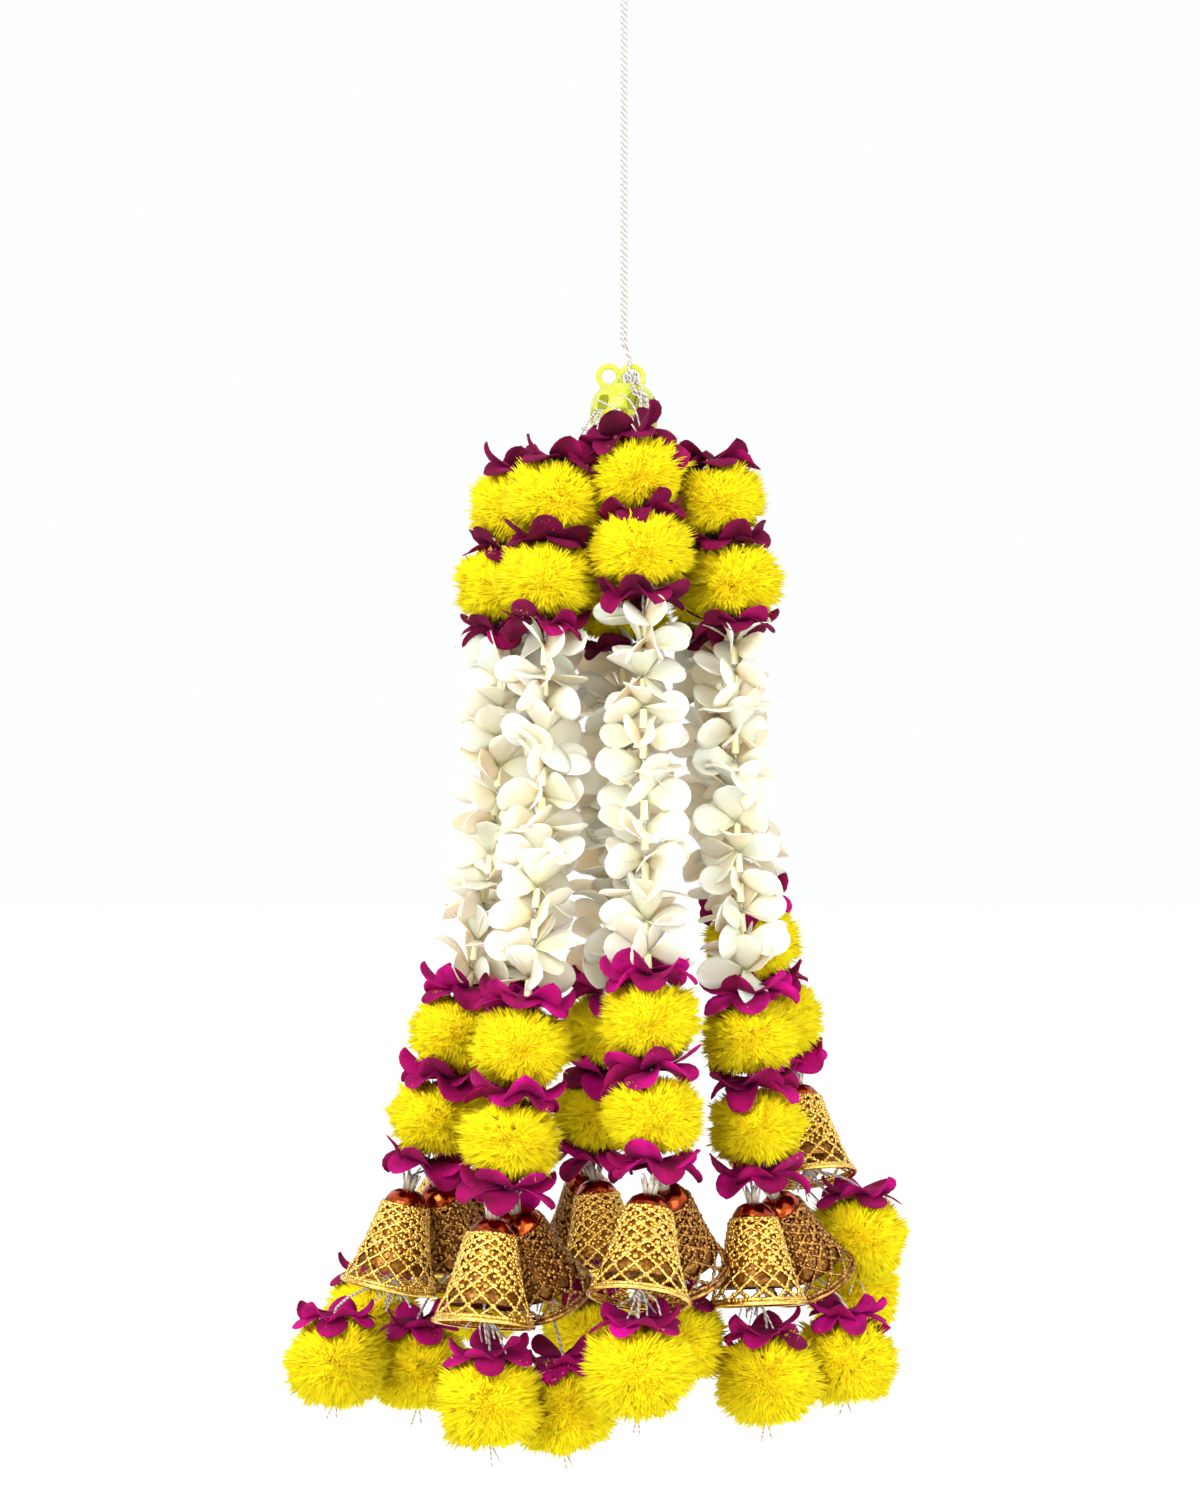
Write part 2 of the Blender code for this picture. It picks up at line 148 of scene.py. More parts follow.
# Two colours mixed by a soft noise that stays put on the piece, and the same noise as a height.
def makeMottleGroup():
    group = bpy.data.node_groups.new("mottle", "ShaderNodeTree")
    for name, way, kind in (
        ("Light", "INPUT", "Color"), ("Dark", "INPUT", "Color"), ("Scale", "INPUT", "Float"),
        ("Contrast", "INPUT", "Float"), ("Colour", "OUTPUT", "Color"), ("Height", "OUTPUT", "Float"),
    ):
        group.interface.new_socket(name, in_out=way, socket_type="NodeSocket" + kind)
    nodes, links = group.nodes, group.links
    ins, outs = nodes.new("NodeGroupInput"), nodes.new("NodeGroupOutput")
    where = nodes.new("ShaderNodeTexCoord")
    clouds = nodes.new("ShaderNodeTexNoise")
    clouds.inputs["Detail"].default_value = 3
    spread = nodes.new("ShaderNodeMapRange")
    low, high = nodes.new("ShaderNodeMath"), nodes.new("ShaderNodeMath")
    low.operation, high.operation = "SUBTRACT", "ADD"
    low.inputs[0].default_value = high.inputs[0].default_value = 0.5
    mix = nodes.new("ShaderNodeMix")
    mix.data_type = "RGBA"
    links.new(where.outputs["Object"], clouds.inputs["Vector"])
    links.new(ins.outputs["Scale"], clouds.inputs["Scale"])
    links.new(ins.outputs["Contrast"], low.inputs[1])
    links.new(ins.outputs["Contrast"], high.inputs[1])
    links.new(clouds.outputs[0], spread.inputs["Value"])
    links.new(low.outputs[0], spread.inputs["From Min"])
    links.new(high.outputs[0], spread.inputs["From Max"])
    links.new(spread.outputs[0], mix.inputs["Factor"])
    links.new(ins.outputs["Dark"], mix.inputs["A"])
    links.new(ins.outputs["Light"], mix.inputs["B"])
    links.new(mix.outputs["Result"], outs.inputs["Colour"])
    links.new(clouds.outputs[0], outs.inputs["Height"])
    return group


mottleGroup = makeMottleGroup()


# The mottle as one of a material's nodes.
def addMottle(material, light, dark, scale, contrast):
    mottle = material.node_tree.nodes.new("ShaderNodeGroup")
    mottle.node_tree = mottleGroup
    mottle.inputs["Light"].default_value = light
    mottle.inputs["Dark"].default_value = dark
    mottle.inputs["Scale"].default_value = scale
    mottle.inputs["Contrast"].default_value = contrast
    return mottle


# The mottle as a material's whole colour.
def paintMottle(material, shader, *values):
    mottle = addMottle(material, *values)
    material.node_tree.links.new(mottle.outputs["Colour"], shader.inputs["Base Color"])
    return mottle


# Multiplies a colour by a ramp that follows a value painted on the mesh.
def tintByMark(material, mark, colour, stops):
    nodes, links = material.node_tree.nodes, material.node_tree.links
    painted = nodes.new("ShaderNodeAttribute")
    painted.attribute_name = mark
    ramp = nodes.new("ShaderNodeValToRGB")
    for element, (position, value) in zip(ramp.color_ramp.elements, (stops[0], stops[-1])):
        element.position, element.color = position, value
    for position, value in stops[1:-1]:
        ramp.color_ramp.elements.new(position).color = value
    tint = nodes.new("ShaderNodeMix")
    tint.data_type = "RGBA"
    tint.blend_type = "MULTIPLY"
    tint.inputs["Factor"].default_value = 1.0
    links.new(painted.outputs["Fac"], ramp.inputs[0])
    links.new(colour, tint.inputs["A"])
    links.new(ramp.outputs[0], tint.inputs["B"])
    return tint.outputs["Result"]


def bump(material, shader, height, strength, distance):
    nodes, links = material.node_tree.nodes, material.node_tree.links
    node = nodes.new("ShaderNodeBump")
    node.inputs["Strength"].default_value = strength
    node.inputs["Distance"].default_value = distance
    links.new(height, node.inputs["Height"])
    links.new(node.outputs[0], shader.inputs["Normal"])


# The cloth's fine grain, as a bump alone.
def addWeave(material, shader, scale, strength, distance):
    grain = addMottle(material, (1, 1, 1, 1), (0, 0, 0, 1), scale, 0.3)
    bump(material, shader, grain.outputs["Height"], strength, distance)


def paleFloor():
    material, shader = newMaterial("paleFloor", 0.9)
    paintMottle(material, shader, (0.93, 0.94, 0.95, 1), (0.90, 0.91, 0.92, 1), 3, 0.2)
    return material


def marigoldCloth():
    material, shader = newMaterial(
        "marigoldCloth", 0.85, Sheen_Weight=0.06, Sheen_Tint=linear(255, 226, 30), Specular_IOR_Level=0.2,
        Subsurface_Weight=0.45, Subsurface_Radius=(1.0, 0.7, 0.05), Subsurface_Scale=0.006,
    )
    mottle = addMottle(material, linear(255, 229, 6), linear(253, 216, 2), 90, 0.16)
    # painted shade: the colour darkens to orange towards the shreds' roots, deep among the tufts
    stops = [(0.0, (0.90, 0.70, 0.35, 1)), (0.4, (0.98, 0.93, 0.8, 1)), (0.85, (1, 1, 1, 1))]
    colour = tintByMark(material, "depth", mottle.outputs["Colour"], stops)
    material.node_tree.links.new(colour, shader.inputs["Base Color"])
    return material


def orchidVelvet():
    material, shader = newMaterial(
        "orchidVelvet", 0.85, Sheen_Weight=0.12, Sheen_Tint=linear(240, 40, 170), Specular_IOR_Level=0.15,
    )
    mottle = addMottle(material, linear(188, 0, 120), linear(124, 2, 66), 70, 0.14)
    # painted shade: the petals darken towards their feet, deep in the flower
    stops = [(0.0, (0.42, 0.34, 0.40, 1)), (0.5, (0.9, 0.9, 0.9, 1)), (1.0, (1, 1, 1, 1))]
    colour = tintByMark(material, "along", mottle.outputs["Colour"], stops)
    # painted shade: each petal darkened by its shade mark, the upper rows most
    stops = [(0.2, (0.26, 0.9, 0.16, 1)), (0.6, (0.62, 0.9, 0.5, 1)), (1.0, (1.05, 1, 1.15, 1))]
    colour = tintByMark(material, "shade", colour, stops)
    material.node_tree.links.new(colour, shader.inputs["Base Color"])
    addWeave(material, shader, 1400, 0.35, 0.0004)
    return material


def blossomCloth():
    material, shader = newMaterial(
        "blossomCloth", 0.55, Subsurface_Weight=0.4, Subsurface_Scale=0.010, Sheen_Weight=0.1,
    )
    mottle = addMottle(material, linear(241, 236, 224), linear(231, 222, 203), 45, 0.2)
    # painted shade: the petals go beige towards their feet, deep in the blossom
    stops = [(0.0, (0.86, 0.80, 0.58, 1)), (0.4, (0.96, 0.93, 0.84, 1)), (1.0, (1, 1, 1, 1))]
    colour = tintByMark(material, "along", mottle.outputs["Colour"], stops)
    stops = [(0.0, (0.93, 0.89, 0.82, 1)), (0.5, (0.98, 0.97, 0.95, 1)), (1.0, (1, 1, 1, 1))]
    colour = tintByMark(material, "shade", colour, stops)
    material.node_tree.links.new(colour, shader.inputs["Base Color"])
    addWeave(material, shader, 1800, 0.12, 0.0003)
    return material


def strawPlastic():
    material, shader = newMaterial("strawPlastic", 0.35, Subsurface_Weight=0.2, Subsurface_Scale=0.003)
    paintMottle(material, shader, linear(248, 246, 205), linear(238, 236, 182), 120, 0.2)
    return material


def clearPlastic():
    material, shader = newMaterial("clearPlastic", 0.2, Transmission_Weight=0.6, IOR=1.4)
    paintMottle(material, shader, linear(250, 246, 232), linear(232, 224, 196), 200, 0.2)
    return material


# White cord with its strands' lay as slanting bands; its grey, darkest in the bands, is painted shade.
def shadedWhiteCord():
    material, shader = newMaterial("shadedWhiteCord", 0.45, Sheen_Weight=0.2)
    nodes, links = material.node_tree.nodes, material.node_tree.links
    where = nodes.new("ShaderNodeTexCoord")
    lay = nodes.new("ShaderNodeTexWave")
    lay.wave_type = "BANDS"
    lay.bands_direction = "DIAGONAL"
    lay.inputs["Scale"].default_value = 210
    lay.inputs["Distortion"].default_value = 0.6
    ramp = nodes.new("ShaderNodeValToRGB")
    ramp.color_ramp.elements[0].color = linear(138, 130, 120)
    ramp.color_ramp.elements[1].color = linear(216, 210, 202)
    links.new(where.outputs["Object"], lay.inputs["Vector"])
    links.new(lay.outputs["Fac"], ramp.inputs[0])
    links.new(ramp.outputs[0], shader.inputs["Base Color"])
    bump(material, shader, lay.outputs["Fac"], 0.6, 0.0003)
    return material


def limePlastic():
    material, shader = newMaterial(
        "limePlastic", 0.22, Transmission_Weight=0.55, IOR=1.35, Coat_Weight=0.3,
    )
    mottle = paintMottle(material, shader, linear(236, 240, 96), linear(214, 222, 30), 130, 0.18)
    bump(material, shader, mottle.outputs["Height"], 0.15, 0.0008)
    return material


def gilt(name, light, dark, roughness, scale, strength):
    material, shader = newMaterial(name, roughness, 1.0, Coat_Weight=0.2)
    mottle = paintMottle(material, shader, light, dark, scale, 0.12)
    bump(material, shader, mottle.outputs["Height"], strength, 0.0008)
    return material


def asMesh(name, bm):
    mesh = bpy.data.meshes.new(name)
    bm.to_mesh(mesh)
    bm.free()
    mesh.shade_smooth()
    return mesh


# A mesh or a curve as a piece with its material.
def asPiece(name, data, material):
    data.materials.append(material)
    piece = bpy.data.objects.new(name, data)
    bpy.context.scene.collection.objects.link(piece)
    return piece


def finishMesh(name, bm, material):
    return asPiece(name, asMesh(name, bm), material)


# A copy of a shape, moved to its place and made a piece.
def placedCopy(name, shape, matrix, material):
    mesh = shape.copy()
    mesh.name = name
    mesh.transform(matrix)
    return asPiece(name, mesh, material)


def thicken(piece, thickness, offset=0):
    wall = piece.modifiers.new("wall", "SOLIDIFY")
    wall.thickness = thickness
    wall.offset = offset


# A full turn round an axis through the origin.
def spinRound(bm, verts, edges, axis, steps):
    bmesh.ops.spin(
        bm, geom=verts + edges, cent=(0, 0, 0), axis=axis, angle=2 * math.pi, steps=steps, use_merge=True,
    )


# An outline of radii and heights, turned round the upright axis.
def spinLine(bm, line, steps):
    verts = [bm.verts.new((radius, 0, height)) for radius, height in line]
    edges = [bm.edges.new(pair) for pair in zip(verts, verts[1:])]
    spinRound(bm, verts, edges, (0, 0, 1), steps)
    bmesh.ops.remove_doubles(bm, verts=bm.verts, dist=0.00001)


# A round bar bent into a ring.
def spinRing(bm, matrix, sides, thick, axis, steps):
    verts = bmesh.ops.create_circle(bm, segments=sides, radius=thick, matrix=matrix)["verts"]
    edges = list(dict.fromkeys(edge for vert in verts for edge in vert.link_edges))
    spinRound(bm, verts, edges, axis, steps)


# Puts another bmesh's faces into this one.
def addMesh(bm, other):
    mesh = bpy.data.meshes.new("part")
    other.to_mesh(mesh)
    other.free()
    bm.from_mesh(mesh)
    bpy.data.meshes.remove(mesh)


# Every piece rides on the one body and stands for its node.
def place(piece, slot, node):
    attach(piece, "root")
    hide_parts(node)


# A turn that takes +Z to direction and keeps +X near side.
def facing(direction, side=(0, 1, 0)):
    z = Vector(direction).normalized()
    y = z.cross(Vector(side)).normalized()
    return Matrix((y.cross(z), y, z)).transposed().to_4x4()


# Round tubes through lists of points, all one piece.
def curvePiece(name, lines, radius, material):
    curve = bpy.data.curves.new(name, "CURVE")
    curve.dimensions = "3D"
    curve.bevel_depth = radius
    curve.bevel_resolution = 2
    curve.use_fill_caps = True
    for line in lines:
        spline = curve.splines.new("POLY")
        spline.points.add(len(line) - 1)
        for point, co in zip(spline.points, line):
            point.co = (*co, 1)
    return asPiece(name, curve, material)


# Points on the Catmull-Rom curve through the controls, the controls among them.
def smoothLine(controls, perSpan):
    ends = [2 * controls[0] - controls[1]] + list(controls) + [2 * controls[-1] - controls[-2]]
    points = []
    for a, b, c, d in zip(ends, ends[1:], ends[2:], ends[3:]):
        for k in range(perSpan):
            t = k / perSpan
            cubic = t * t * (2 * a - 5 * b + 4 * c - d) + t ** 3 * (3 * b - 3 * c + d - a)
            points.append(0.5 * (2 * b + t * (c - a) + cubic))
    return points + [controls[-1]]


def facesOf(node):
    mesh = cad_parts[node].data
    middles = np.array([tuple(face.center) for face in mesh.polygons])
    areas = np.array([face.area for face in mesh.polygons])
    return middles, areas


def middleOf(node):
    middles, areas = facesOf(node)
    return (middles * areas[:, None]).sum(0) / areas.sum()


# The line that a turned piece is round: the one direction its spread differs in.
def axisOf(node):
    middles, areas = facesOf(node)
    away = middles - middleOf(node)
    spread = (away * areas[:, None]).T @ away / areas.sum()
    sizes, lines = np.linalg.eigh(spread)
    odd = 0 if sizes[1] - sizes[0] > sizes[2] - sizes[1] else 2
    axis = Vector(lines[:, odd])
    return -axis if axis.z > 0 else axis


# A bell's top and the way its mouth points.
def bellPlace(node):
    axis = axisOf(node)
    corners = [vertex.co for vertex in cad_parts[node].data.vertices]
    middle = Vector(middleOf(node))
    along = [(co - middle).dot(axis) for co in corners]
    return middle + axis * min(along), axis


broadFace = 80e-6  # a thread's faces past this area, in square metres, are its tassel marigolds'


# The middles of the two tassel marigolds: the thread's broad faces, shared out by the nearest bell's mouth.
def tasselPlaces(strand, mouths):
    middles, areas = facesOf(f"thread_{strand}")
    broad = areas > broadFace
    middles, areas = middles[broad], areas[broad]
    seeds = np.array([tuple(mouth) for mouth in mouths])
    for _ in range(12):
        nearest = np.linalg.norm(middles[:, None] - seeds[None], axis=2).argmin(1)
        shares = [areas * (nearest == k) for k in (0, 1)]
        seeds = np.array([(middles * share[:, None]).sum(0) / share.sum() for share in shares])
    return [Vector(seed) for seed in seeds]


# Points down the middle of a string of blossoms, one for each blossom.
def stringLine(node, count):
    middles, areas = facesOf(node)
    low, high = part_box(node)
    height = (high[2] - low[2]) / count
    line = []
    for k in range(count):
        top = high[2] - k * height
        inside = (middles[:, 2] <= top) & (middles[:, 2] > top - height)
        here = (middles[inside] * areas[inside, None]).sum(0) / areas[inside].sum()
        line.append(Vector((here[0], here[1], top - height / 2)))
    return line


def strandPlaces(strand):
    found = {"poms": {}}
    for row in ("upper", "lower"):
        for letter in "ab":
            node = f"{row}_marigold_{strand}{letter}"
            axis = (axisOf(node) + down * pom["upright"][row]).normalized()
            found["poms"][row + letter] = (Vector(middleOf(node)), axis)
    orchids = []
    for row in ("upper", "lower"):
        (first, firstAxis), (second, secondAxis) = found["poms"][row + "a"], found["poms"][row + "b"]
        step = (second - first).length / 2
        orchids.append((first - firstAxis * step, firstAxis))
        orchids.append(((first + second) / 2, (firstAxis + secondAxis).normalized()))
        orchids.append((second + secondAxis * step, secondAxis))
    found["orchids"] = orchids
    string = f"blossom_string_{strand}"
    low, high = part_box(string)
    found["string"] = stringLine(string, round((high[2] - low[2]) / blossoms["pitch"]))
    thread = f"thread_{strand}"
    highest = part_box(thread)[1][2] - 0.0005
    top = [vert.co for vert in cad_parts[thread].data.vertices if vert.co.z > highest]
    found["top"] = sum(top, Vector()) / len(top)
    found["bells"] = [bellPlace(f"bell_{strand}{letter}") for letter in "ab"]
    mouths = [top + axis * bell["height"] for top, axis in found["bells"]]
    found["tassels"] = tasselPlaces(strand, mouths)
    lowest, axis = orchids[-1]
    found["fork"] = lowest + axis * threads["forkDrop"]
    return found


cord = {
    "radius": 0.00075,
    "legX": 0.00092,  # each leg's distance from the middle
    "barX": 0.0026,  # the right ear's upper bar, which the cord goes round
    "barZ": -0.1997,
    "clear": 0.00275,  # from the bar's middle to the cord's
    "length": 0.412,
    "knot": (0.0042, 0.0030, 0.0040),  # half sizes of the tangle in the right ear
    "knotMiddle": (0.0036, -0.0004, -0.2062),
    "knotThread": 0.00038,
    "knotTurns": 9,
    "knotEnds": 5,
}


# From the knot up before the right ear's bar, over the loop at the top and down behind the bar.
def cordPoints():
    x, z, clear, legX = cord["barX"], cord["barZ"], cord["clear"], cord["legX"]
    leg = [
        (x, clear * 0.75, z - 0.0034), (x, clear, z), (0.0022, 0.0013, z + 0.0045),
        (0.0009, 0.0006, z + 0.012), (legX, 0, z + 0.022), (legX, 0, z + 0.045), (legX, 0, z + 0.085),
        (legX, 0, -0.070), (legX, 0, -0.036), (legX, 0, -0.020),
        (0.0019, 0, -0.013), (0.0038, 0, -0.0075), (0.0036, 0, -0.0028),
    ]
    back = [Vector(point) for point in leg]
    front = [Vector((2 * x - px if pz < z + 0.008 else -px, -py, pz)) for px, py, pz in leg]
    return front + [Vector((0, 0, -cord["radius"]))] + back[::-1]


def makeCord():
    controls = cordPoints()
    material = shadedWhiteCord()
    hanging = curvePiece("hangingCord", [smoothLine(controls, 3)], cord["radius"], material)
    place(hanging, "cord_white", "hanging_cord")
    tangle = []
    for turn in range(cord["knotTurns"]):  # loose turns of the tied thread, each tilted its own way
        tilt = facing((random.uniform(-1, 1), random.uniform(-0.6, 0.6), random.uniform(-1, 1)))
        wide = random.uniform(0.55, 1.0)
        loop = []
        for k in range(19):
            angle = 2 * math.pi * k / 18
            spot = tilt @ Vector((math.cos(angle) * wide, math.sin(angle) * wide, random.uniform(-0.1, 0.1)))
            loop.append(Vector(cord["knotMiddle"]) + Vector(s * h for s, h in zip(spot, cord["knot"])))
        tangle.append(loop)
    for end in range(cord["knotEnds"]):
        start = Vector(cord["knotMiddle"]) + Vector((random.uniform(-0.003, 0.003), -0.003, -0.004))
        away = Vector((random.uniform(-0.006, 0.004), random.uniform(-0.012, -0.008), -0.012 - 0.002 * end))
        tangle.append(smoothLine([start, start + away * 0.4 + Vector((0.002, 0, 0)), start + away], 4))
    knot = curvePiece("cordKnot", tangle, cord["knotThread"], material)
    place(knot, "cord_white", "cord_knot")
    return material


crown = {
    "profile": (
        (0.0152, -0.0004), (0.0165, 0.0035), (0.0171, 0.0075), (0.0172, 0.0115), (0.0168, 0.0155),
        (0.0157, 0.0192), (0.0138, 0.0222), (0.0114, 0.0244), (0.0086, 0.0258),
    ),
    "steps": 30,
    "wall": 0.0012,
    "columns": 5,  # the windows' pattern repeats after this many
    "windows": ((0.0030, 0.0118, (1, 2)), (0.0130, 0.0198, (3, 4))),  # from and to a height, in which columns
    "ears": (  # x, height, half width, half height, bar
        (-0.0076, 0.0298, 0.0050, 0.0050, 0.0015),
        (0.0038, 0.0288, 0.0058, 0.0060, 0.0014),
    ),
    "earSteps": 36,
}


# A flared skirt with windows, and two flattened rings that grow out of its neck.
def makeCrown():
    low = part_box("crown")[0]
    bm = bmesh.new()
    spinLine(bm, [(radius, low[2] + height) for radius, height in crown["profile"]], crown["steps"])
    step = 2 * math.pi / crown["steps"]
    windows = []
    for face in bm.faces:
        middle = face.calc_center_median()
        column = int((math.atan2(middle.y, middle.x) % (2 * math.pi)) / step)
        height = middle.z - low[2]
        part = column % crown["columns"]
        if any(start < height < end and part in which for start, end, which in crown["windows"]):
            windows.append(face)
    bmesh.ops.delete(bm, geom=windows, context="FACES")
    bmesh.ops.recalc_face_normals(bm, faces=bm.faces)
    plastic = limePlastic()
    skirt = finishMesh("crownSkirt", bm, plastic)
    thicken(skirt, crown["wall"], -1)
    soft = skirt.modifiers.new("soft", "SUBSURF")
    soft.levels = soft.render_levels = 2
    place(skirt, "crown_yellow", "crown")

    bm = bmesh.new()
    for x, height, wide, tall, bar in crown["ears"]:
        ring = bmesh.new()
        spinRing(ring, Matrix.Translation((1, 0, 0)), 10, bar, (0, 1, 0), crown["earSteps"])
        for vert in ring.verts:
            around = Vector((vert.co.x, 0, vert.co.z)).normalized()
            vert.co += Vector((around.x * (wide - 1) + x, 0, around.z * (tall - 1) + low[2] + height))
        addMesh(bm, ring)
    bmesh.ops.remove_doubles(bm, verts=bm.verts, dist=0.00001)
    bmesh.ops.recalc_face_normals(bm, faces=bm.faces)
    ears = finishMesh("crownEars", bm, plastic)
    place(ears, "crown_yellow", "crown")


pom = {
    "core": 0.74,  # radius of the dense middle, the size in the last three rows being 1
    "outer": 0.97,  # and of the shreds' tips
    "square": 2.7,  # 2 is round, more is boxier
    "lumps": 0.15,
    "lumpScale": 1.9,
    "tufts": 950,
    "uneven": 0.05,  # how far tufts stand from even spacing
    "gather": 0.34,  # how far shreds lean to the middle of their tuft
    "ragged": 0.048,  # how much the tufts differ in length
    "lean": 0.035,
    "short": 0.16,  # how much the shortest shreds of a tuft lack
    "stray": 0.018,
    "kinds": 6,
    "upright": {"upper": 2.5, "lower": 0.3},  # how strongly a flower is turned upright
    "upper": (0.0258, 0.0188),  # radius and half height
    "lower": (0.0253, 0.0190),
    "tassel": (0.0264, 0.0222),
}


# How far a flat-topped round cushion reaches in each direction.
def boxy(out):
    side = np.hypot(out[:, 0], out[:, 1])
    return (side ** pom["square"] + np.abs(out[:, 2]) ** pom["square"]) ** (-1 / pom["square"])


def unit(rows):
    return rows / np.linalg.norm(rows, axis=1)[:, None]


# A cushion of thin cloth shreds gathered in tufts, one shred raised from each face of a small core.
def shapePom(kind):
    draw = np.random.default_rng(kind)
    bm = bmesh.new()
    bmesh.ops.create_icosphere(bm, subdivisions=5, radius=1)
    # A mark from 0 on the core to 1 at the shreds' tips; the cloth's colour uses it for painted shade at the
    # roots.
    depth = bm.verts.layers.float.new("depth")
    raised = bmesh.ops.poke(bm, faces=bm.faces)["verts"]
    for vert in raised:
        vert[depth] = 1.0
    core = [vert for vert in bm.verts if vert[depth] < 0.5]

    count = pom["tufts"]
    turn = np.arange(count) + 0.5
    polar, around = np.arccos(1 - 2 * turn / count), turn * math.pi * (1 + 5 ** 0.5)
    tufts = np.stack([np.sin(polar) * np.cos(around), np.sin(polar) * np.sin(around), np.cos(polar)], axis=1)
    tufts = unit(tufts + draw.normal(0, pom["uneven"], tufts.shape))
    reach = 1 + draw.normal(0, pom["ragged"], count)
    lean = draw.normal(0, pom["lean"], (count, 3))

    shift = Vector((kind * 7.3, kind * 3.1, kind * 5.7))
    for verts, inner in ((core, True), (raised, False)):
        out = unit(np.array([tuple(vert.co) for vert in verts]))
        lumps = np.array([noise.noise(Vector(row) * pom["lumpScale"] + shift) for row in out]) * pom["lumps"]
        if inner:
            spots = out * (boxy(out) * (pom["core"] + lumps))[:, None]
        else:
            nearest = (out @ tufts.T).argmax(1)
            strength = pom["gather"] * (0.6 + 0.4 * draw.random(len(out)))[:, None]
            tip = unit(out * (1 - strength) + tufts[nearest] * strength)
            lack = pom["short"] * draw.random(len(out)) ** 2
            far = boxy(tip) * (pom["outer"] + lumps) * reach[nearest] * (1 - lack)
            spots = tip * far[:, None] + lean[nearest] + draw.normal(0, pom["stray"], tip.shape)
        for vert, spot in zip(verts, spots):
            vert.co = spot
    return asMesh(f"pomShape{kind}", bm)


def makePom(name, shape, middle, axis, size, node, material):
    spin = Matrix.Rotation(random.uniform(0, 2 * math.pi), 4, "Z")
    grow = Matrix.Diagonal((size[0], size[0], size[1], 1))
    piece = placedCopy(name, shape, Matrix.Translation(middle) @ facing(axis) @ grow @ spin, material)
    place(piece, "marigold_yellow", node)


petal = {
    "foot": 0.16,  # the foot's width, the widest being 1
    "widest": 0.6,  # at this share of the length
    "bend": 1.7,  # above 1 it bends most near its end
    "samples": 25,
}


# Values painted along each petal and on each petal as a whole.
def petalMarks(bm):
    return [bm.verts.layers.float.new(name) for name in ("along", "shade")]


# Half the petal's width at a share of its length: a narrow foot, widest near the end, and round there.
def petalOutline(along):
    widest, foot = petal["widest"], petal["foot"]
    if along > widest:
        return max(1 - ((along - widest) / (1 - widest)) ** 2, 0) ** 0.5
    return foot + (1 - foot) * math.sin(math.pi / 2 * along / widest) ** 1.4


# A petal out along +Y: it sets off at an angle, bends on the way, and is cupped across.
def addPetal(bm, marks, where, length, width, cup, rise, curl, ruffle, twist, shade):
    made = bmesh.ops.create_grid(bm, x_segments=5, y_segments=8, size=0.5)["verts"]
    phase = random.uniform(0, 6)
    steps = np.linspace(0, 1, petal["samples"])
    angles = rise + curl * steps[:-1] ** petal["bend"]
    outs = np.concatenate([[0], np.cumsum(np.cos(angles)) * steps[1]]) * length
    ups = np.concatenate([[0], np.cumsum(np.sin(angles)) * steps[1]]) * length
    where = where @ Matrix.Rotation(twist, 4, "Y")
    for vert in made:
        across, along = vert.co.x * 2, math.sin(math.pi / 2 * (vert.co.y + 0.5))
        half = width / 2 * petalOutline(along)
        angle = rise + curl * along ** petal["bend"]
        wave = math.sin(phase + 4 * across + 3 * along)
        lift = cup * across * across * half + ruffle * length * along * wave
        out = float(np.interp(along, steps, outs)) - math.sin(angle) * lift
        up = float(np.interp(along, steps, ups)) + math.cos(angle) * lift
        vert.co = where @ Vector((across * half, out, up))
        vert[marks[0]] = along
        vert[marks[1]] = shade


orchid = {
    "petals": 10,
    "length": (0.0230, 0.0264),
    "width": (0.0165, 0.0198),
    "thickness": 0.0004,
    "rise": 0.15,
    "curl": (0.85, 1.35),
    "ruffle": 0.03,
    "inset": 0.0006,  # from the thread's middle to each foot
    "overTassel": 0.0006,
    "stagger": 0.0015,
    # shade: a darkening per petal, random within each row's range; the upper rows' darker range is painted
    # shade
    "shade": {"upper": (0.12, 0.55), "lower": (0.55, 1.0), "tassel": (0.55, 1.0)},  # 0 is maroon, 1 magenta
    "scale": {"upper": 0.93, "lower": 1.0, "tassel": 0.82},
    "hidden": 0.80,  # what lies between these shares of a marigold's size is moved out to the second
    "clear": 1.05,
}


# A petal's own frame: +Y out from the thread at an angle round it, +Z up the thread.
def petalPlace(middle, axis, angle, inset):
    turn = Matrix.Rotation(angle, 4, "Z") @ Matrix.Translation((0, inset, 0))
    return Matrix.Translation(middle) @ facing(-axis) @ turn


